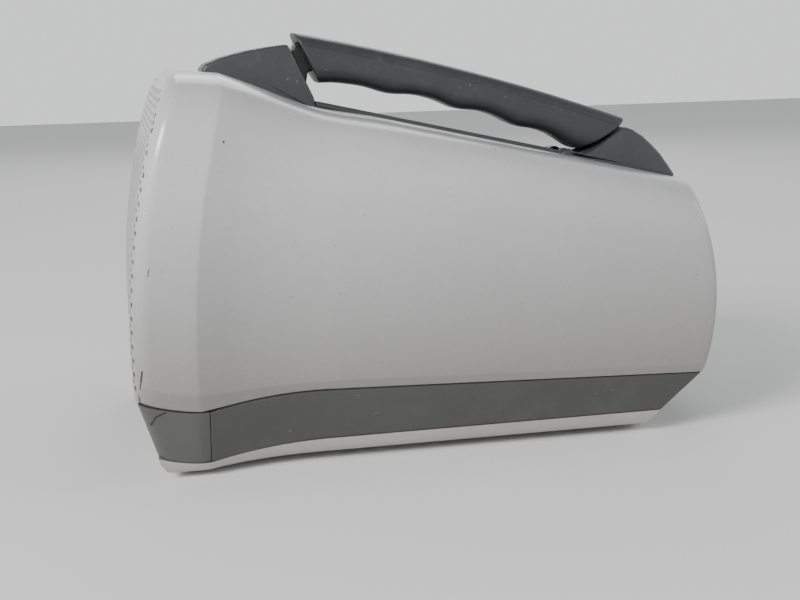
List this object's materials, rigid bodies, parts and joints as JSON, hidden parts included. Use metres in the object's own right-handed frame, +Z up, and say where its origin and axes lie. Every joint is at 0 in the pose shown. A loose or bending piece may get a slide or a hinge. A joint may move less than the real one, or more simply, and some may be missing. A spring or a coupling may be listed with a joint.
{
  "type": "ultrasound scanner",
  "caption": "Portable ultrasound scanner in a wedge-shaped off-white case with a wide vented rear, a gray belt and a swinging gray carry handle; screen and controls at the narrow front.",
  "frame": {"origin": "middle of the footprint on the floor, under the centre of the bounding box", "axes": "+X from the vented rear to the screen end, +Y to the side with the probe socket, +Z up"},
  "size_m": [0.3365, 0.2384, 0.2262],
  "materials": {
    "case_shell": "glossy off-white moulding",
    "belt_gray": "satin gray",
    "bezel_gray": "satin light gray",
    "panel_gray": "satin gray membrane plate",
    "handle_gray": "fine-textured dark gray",
    "grip_rubber": "satin dark gray",
    "strap_black": "black paint",
    "steel": "plated",
    "screen_glass": "smoked filter",
    "tube_glass": "gray tube glass",
    "coil_copper": "varnished copper and ferrite",
    "board_green": "solder mask",
    "switch_black": "black moulding",
    "key_light": "satin key caps",
    "key_blue": "satin key cap",
    "knob_dark": "satin knobs",
    "socket_metal": "cast, nickel plated",
    "latch_gray": "satin",
    "plate_zinc": "passivated sheet",
    "core_dark": "varnished laminations",
    "foot_rubber": "matte"
  },
  "bodies": {
    "case": {"upper_housing": "case_shell", "rear_grille": "case_shell", "base_tray": "case_shell", "belt_left": "belt_gray", "belt_right": "belt_gray", "belt_rear": "belt_gray", "chin_front": "belt_gray", "front_bezel": "bezel_gray", "control_panel": "panel_gray", "handle_mount_rear": "handle_gray", "handle_mount_front": "handle_gray", "top_spine": "handle_gray", "handle_pin": "steel", "base_screws": "steel", "bonding_stud": "steel", "video_socket": "steel", "crt_frame": "steel", "screen_filter": "screen_glass", "crt_tube": "tube_glass", "deflection_yoke": "coil_copper", "neck_board": "board_green", "key_board": "board_green", "main_board": "board_green", "scan_board": "board_green", "key_switches": "switch_black", "control_pots": "switch_black", "fan_frame": "switch_black", "fuse_holder": "switch_black", "mains_inlet": "switch_black", "switch_case": "switch_black", "probe_contacts": "switch_black", "probe_socket": "socket_metal", "latch_boss": "socket_metal", "chassis_plate": "plate_zinc", "standoffs": "plate_zinc", "power_case": "plate_zinc", "io_panel": "plate_zinc", "transformer": "core_dark", "power_capacitor": "core_dark", "rubber_feet": "foot_rubber"},
    "handle": {"handle_strap": "strap_black", "grip_core": "grip_rubber", "grip_cap": "grip_rubber"},
    "latch": {"probe_latch": "latch_gray"},
    "rocker": {"power_rocker": "switch_black"},
    "fan": {"fan_rotor": "switch_black"},
    "key_depth_body": {"key_depth": "key_light"},
    "key_focus_body": {"key_focus": "key_light"},
    "key_invert_body": {"key_invert": "key_light"},
    "key_mark_body": {"key_mark": "key_light"},
    "key_measure_body": {"key_measure": "key_light"},
    "key_enter_body": {"key_enter": "key_light"},
    "key_cursor_body": {"key_cursor": "key_light"},
    "key_store_body": {"key_store": "key_light"},
    "key_annotate_body": {"key_annotate": "key_light"},
    "key_freeze_body": {"key_freeze": "key_blue"},
    "knob_gain_body": {"knob_gain": "knob_dark"},
    "knob_near_body": {"knob_near": "knob_dark"},
    "knob_far_body": {"knob_far": "knob_dark"},
    "knob_bright_body": {"knob_bright": "knob_dark"}
  },
  "joints": [
    {"name": "handle_swing", "type": "hinge", "parent": "case", "child": "handle", "pos_m": [0.134, 0, 0.152], "axis": [0, 1, 0], "range_deg": [-1.9, 0]},
    {"name": "latch_turn", "type": "hinge", "parent": "case", "child": "latch", "pos_m": [0.08, 0.106, 0.0545], "axis": [0, 1, 0], "range_deg": [0, 90]},
    {"name": "rocker_tilt", "type": "hinge", "parent": "case", "child": "rocker", "pos_m": [-0.1499, 0.037, 0.0272], "axis": [0, 0, 1], "range_deg": [0, 12]},
    {"name": "fan_spin", "type": "hinge", "parent": "case", "child": "fan", "pos_m": [-0.15, -0.038, 0.108], "axis": [1, 0, 0], "continuous": true},
    {"name": "key_depth_press", "type": "slide", "parent": "case", "child": "key_depth_body", "axis": [-0.9781, -0.2079, 0], "range_m": [0, 0.0012], "stiffness_N_per_m": 500, "springref_m": -0.0004},
    {"name": "key_focus_press", "type": "slide", "parent": "case", "child": "key_focus_body", "axis": [-0.9781, -0.2079, 0], "range_m": [0, 0.0012], "stiffness_N_per_m": 500, "springref_m": -0.0004},
    {"name": "key_invert_press", "type": "slide", "parent": "case", "child": "key_invert_body", "axis": [-0.9781, -0.2079, 0], "range_m": [0, 0.0012], "stiffness_N_per_m": 500, "springref_m": -0.0004},
    {"name": "key_mark_press", "type": "slide", "parent": "case", "child": "key_mark_body", "axis": [-0.9781, -0.2079, 0], "range_m": [0, 0.0012], "stiffness_N_per_m": 500, "springref_m": -0.0004},
    {"name": "key_measure_press", "type": "slide", "parent": "case", "child": "key_measure_body", "axis": [-0.9781, -0.2079, 0], "range_m": [0, 0.0012], "stiffness_N_per_m": 500, "springref_m": -0.0004},
    {"name": "key_enter_press", "type": "slide", "parent": "case", "child": "key_enter_body", "axis": [-0.9781, -0.2079, 0], "range_m": [0, 0.0012], "stiffness_N_per_m": 500, "springref_m": -0.0004},
    {"name": "key_cursor_press", "type": "slide", "parent": "case", "child": "key_cursor_body", "axis": [-0.9781, -0.2079, 0], "range_m": [0, 0.0012], "stiffness_N_per_m": 500, "springref_m": -0.0004},
    {"name": "key_store_press", "type": "slide", "parent": "case", "child": "key_store_body", "axis": [-0.9781, -0.2079, 0], "range_m": [0, 0.0012], "stiffness_N_per_m": 500, "springref_m": -0.0004},
    {"name": "key_annotate_press", "type": "slide", "parent": "case", "child": "key_annotate_body", "axis": [-0.9781, -0.2079, 0], "range_m": [0, 0.0012], "stiffness_N_per_m": 500, "springref_m": -0.0004},
    {"name": "key_freeze_press", "type": "slide", "parent": "case", "child": "key_freeze_body", "axis": [-0.9781, -0.2079, 0], "range_m": [0, 0.0012], "stiffness_N_per_m": 500, "springref_m": -0.0004},
    {"name": "knob_gain_turn", "type": "hinge", "parent": "case", "child": "knob_gain_body", "pos_m": [0.15451, 0.04082, 0.105], "axis": [0.9781, 0.2079, 0], "range_deg": [-150, 150]},
    {"name": "knob_near_turn", "type": "hinge", "parent": "case", "child": "knob_near_body", "pos_m": [0.15503, 0.03837, 0.0865], "axis": [0.9781, 0.2079, 0], "range_deg": [-150, 150]},
    {"name": "knob_far_turn", "type": "hinge", "parent": "case", "child": "knob_far_body", "pos_m": [0.1515, 0.055, 0.0865], "axis": [0.9781, 0.2079, 0], "range_deg": [-150, 150]},
    {"name": "knob_bright_turn", "type": "hinge", "parent": "case", "child": "knob_bright_body", "pos_m": [0.14797, 0.07163, 0.0865], "axis": [0.9781, 0.2079, 0], "range_deg": [-150, 150]}
  ]
}
